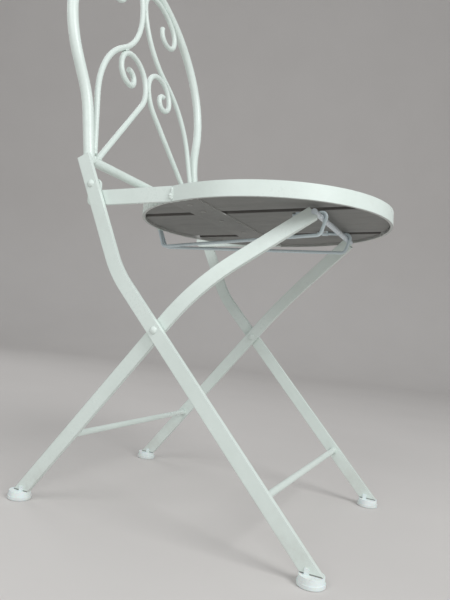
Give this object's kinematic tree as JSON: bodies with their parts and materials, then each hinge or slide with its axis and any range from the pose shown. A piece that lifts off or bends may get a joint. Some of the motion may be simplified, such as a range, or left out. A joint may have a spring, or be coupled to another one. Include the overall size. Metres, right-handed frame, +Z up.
{
  "type": "metal folding chair",
  "caption": "Folding bistro chair of painted metal: crossed flat-bar legs, round ringed seat, arched tube back with bent-rod scrolls and plastic foot caps.",
  "frame": {"origin": "on the floor, under the middle of the open chair's bounding box", "axes": "+Z up, +Y to the back, so the sitter faces -Y and has the right hand at -X"},
  "size_m": [0.418, 0.4788, 0.8867],
  "materials": {
    "frame_paint": "satin off-white powder coat",
    "seat_paint": "painted off-white",
    "foot_plastic": "white moulded"
  },
  "bodies": {
    "back_frame": {"front_leg_right": "frame_paint", "front_leg_left": "frame_paint", "front_stretcher": "frame_paint", "front_foot_right": "foot_plastic", "front_foot_left": "foot_plastic", "back_arch": "frame_paint", "back_cross_tube": "frame_paint", "scroll_outer_right": "frame_paint", "scroll_outer_left": "frame_paint", "scroll_inner_right": "frame_paint", "scroll_inner_left": "frame_paint", "pivot_rivet_right": "frame_paint", "pivot_rivet_left": "frame_paint", "pivot_washer_right": "frame_paint", "pivot_washer_left": "frame_paint", "hinge_rivet_right": "frame_paint", "hinge_rivet_left": "frame_paint", "hinge_washer_right": "frame_paint", "hinge_washer_left": "frame_paint"},
    "rear_legs": {"rear_leg_right": "frame_paint", "rear_leg_left": "frame_paint", "rear_stretcher": "frame_paint", "slide_rod": "frame_paint", "rear_foot_right": "foot_plastic", "rear_foot_left": "foot_plastic"},
    "seat": {"seat_ring": "frame_paint", "seat_arm_right": "frame_paint", "seat_arm_left": "frame_paint", "seat_board_right": "seat_paint", "seat_board_middle": "seat_paint", "seat_board_left": "seat_paint", "seat_strap": "frame_paint", "guide_rail_right": "frame_paint", "guide_rail_left": "frame_paint"}
  },
  "joints": [
    {"name": "leg_fold", "type": "hinge", "parent": "back_frame", "child": "rear_legs", "pos_m": [0, 0.0193, 0.26], "axis": [-1, 0, 0], "range_deg": [0, 54]},
    {"name": "seat_fold", "type": "hinge", "parent": "back_frame", "child": "seat", "pos_m": [0, 0.14589, 0.45234], "axis": [-1, 0, 0], "range_deg": [0, 45.9]}
  ],
  "couplings": [
    {"joint": "seat_fold", "follows": "leg_fold", "ratio": 0.85}
  ]
}
